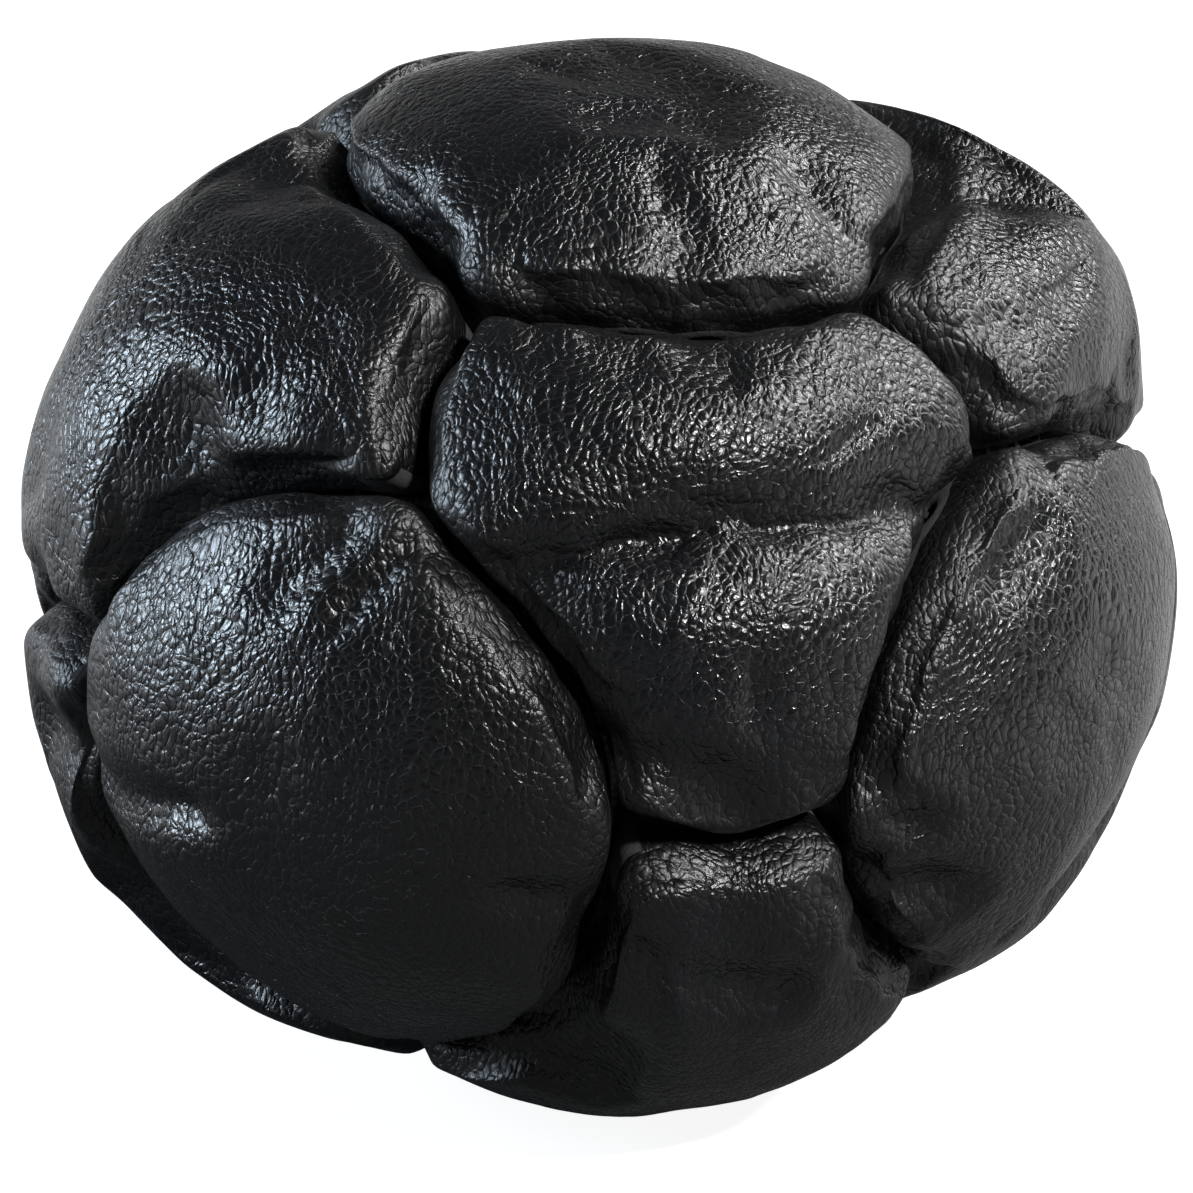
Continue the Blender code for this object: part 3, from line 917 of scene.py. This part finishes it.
class FOOTBAG_OT_threads(bpy.types.Operator):
    """Finish the seam threads"""

    bl_idname = "footbag.threads"
    bl_label = "Seam Threads"

    def execute(self, context):
        dress_nodes("thread_", thread_material())
        return {"FINISHED"}


class FOOTBAG_OT_inner_bag(bpy.types.Operator):
    """Finish the cloth bag that holds the fill"""

    bl_idname = "footbag.inner_bag"
    bl_label = "Inner Bag"

    def execute(self, context):
        dress_nodes("inner_bag", cloth_material())
        return {"FINISHED"}


class FOOTBAG_OT_fill(bpy.types.Operator):
    """Finish the loose fill"""

    bl_idname = "footbag.fill"
    bl_label = "Sand Fill"

    def execute(self, context):
        dress_nodes("sand_fill", sand_material())
        return {"FINISHED"}


class FOOTBAG_OT_stage(bpy.types.Operator):
    """Make the floor, the lights and the camera"""

    bl_idname = "footbag.stage"
    bl_label = "Stage"

    def execute(self, context):
        scene = context.scene
        scene.view_settings.view_transform = "Standard"
        bpy.ops.object.select_all(action="DESELECT")
        bpy.ops.mesh.primitive_plane_add(size=FLOOR_SIZE, location=(0, 0, 0))
        floor = context.active_object
        floor.name = "floor"
        floor.data.materials.append(floor_material())
        self.add_camera()
        for light in LIGHTS:
            self.add_light(*light)
        self.add_world()
        return {"FINISHED"}

    def add_camera(self):
        """The camera, in front of the ball and looking down at it."""
        lift = math.radians(CAMERA_LIFT)
        back = Vector((0, -math.cos(lift), math.sin(lift)))
        up = Vector((0, math.sin(lift), math.cos(lift)))
        aside, above = CAMERA_SHIFT
        lens = bpy.data.cameras.new("camera")
        lens.lens = CAMERA_LENS
        lens.sensor_width = 36.0
        lens.clip_start = 0.01
        camera = bpy.data.objects.new("camera", lens)
        camera.location = Vector(middle()) + CAMERA_DISTANCE * back
        camera.location += above * up + Vector((aside, 0, 0))
        camera.rotation_euler = (math.pi / 2 - lift, 0, 0)
        bpy.context.scene.collection.objects.link(camera)
        bpy.context.scene.camera = camera

    def add_world(self):
        """A world that is seen as white, mirrored dim and only at the back, and lights little."""
        world = bpy.data.worlds.new("studio")
        bpy.context.scene.world = world
        world.use_nodes = True
        build = Nodes(world.node_tree)
        ground = world.node_tree.nodes["Background"]
        path = build.add("ShaderNodeLightPath").outputs
        way = build.add("ShaderNodeTexCoord").outputs["Generated"]
        parts = build.add("ShaderNodeSeparateXYZ", {0: way}).outputs
        upper = build.math("MULTIPLY", build.ramp(parts["Z"], 0.05, 0.4), WORLD_BACKDROP)
        backdrop = build.math("SUBTRACT", WORLD_BACKDROP, upper)
        backdrop = build.math("MULTIPLY", backdrop, build.ramp(parts["Y"], -0.5, 0.1))
        white = build.math("MAXIMUM", path["Is Camera Ray"], path["Is Transmission Ray"])
        white = build.math("MAXIMUM", white, backdrop)
        seen = build.math("MULTIPLY", build.seen(path), white)
        strength = build.math("MULTIPLY_ADD", seen, WORLD_WHITE, WORLD_LIGHT)
        ground.inputs["Color"].default_value = WHITE
        build.tree.links.new(strength, ground.inputs["Strength"])

    def add_light(self, name, place, size, glow, colour):
        """A square soft light that faces the middle of the ball."""
        data = bpy.data.lights.new(name, "AREA")
        data.size = size
        data.energy = glow * math.pi * size * size
        data.color = colour
        light = bpy.data.objects.new(name, data)
        light.location = place
        aim = Vector(middle()) - Vector(place)
        light.rotation_euler = aim.to_track_quat("-Z", "Y").to_euler()
        bpy.context.scene.collection.objects.link(light)


class FOOTBAG_PT_sidebar(bpy.types.Panel):
    """The footbag's sizes, finishes and pieces"""

    bl_idname = "FOOTBAG_PT_sidebar"
    bl_label = "Leather Footbag"
    bl_space_type = "VIEW_3D"
    bl_region_type = "UI"
    bl_category = "Footbag"

    def draw(self, context):
        layout = self.layout
        for values in (context.scene.footbag_sizes, context.scene.footbag_finish):
            box = layout.box()
            for key in values.__annotations__:
                box.prop(values, key)
        for name in PIECES:
            layout.operator("footbag." + name)


PIECES = ("panels", "threads", "inner_bag", "fill", "stage")

CLASSES = (
    FootbagSizes,
    FootbagFinish,
    FOOTBAG_OT_panels,
    FOOTBAG_OT_threads,
    FOOTBAG_OT_inner_bag,
    FOOTBAG_OT_fill,
    FOOTBAG_OT_stage,
    FOOTBAG_PT_sidebar,
)


def register():
    """Adds the footbag's settings, operators and panel."""
    for item in CLASSES:
        bpy.utils.register_class(item)
    bpy.types.Scene.footbag_sizes = PointerProperty(type=FootbagSizes)
    bpy.types.Scene.footbag_finish = PointerProperty(type=FootbagFinish)


def unregister():
    """Takes them away again."""
    del bpy.types.Scene.footbag_finish
    del bpy.types.Scene.footbag_sizes
    for item in reversed(CLASSES):
        bpy.utils.unregister_class(item)


def main():
    """Builds every piece in order."""
    register()
    for name in PIECES:
        getattr(bpy.ops.footbag, name)()


if __name__ == "__main__":
    main()
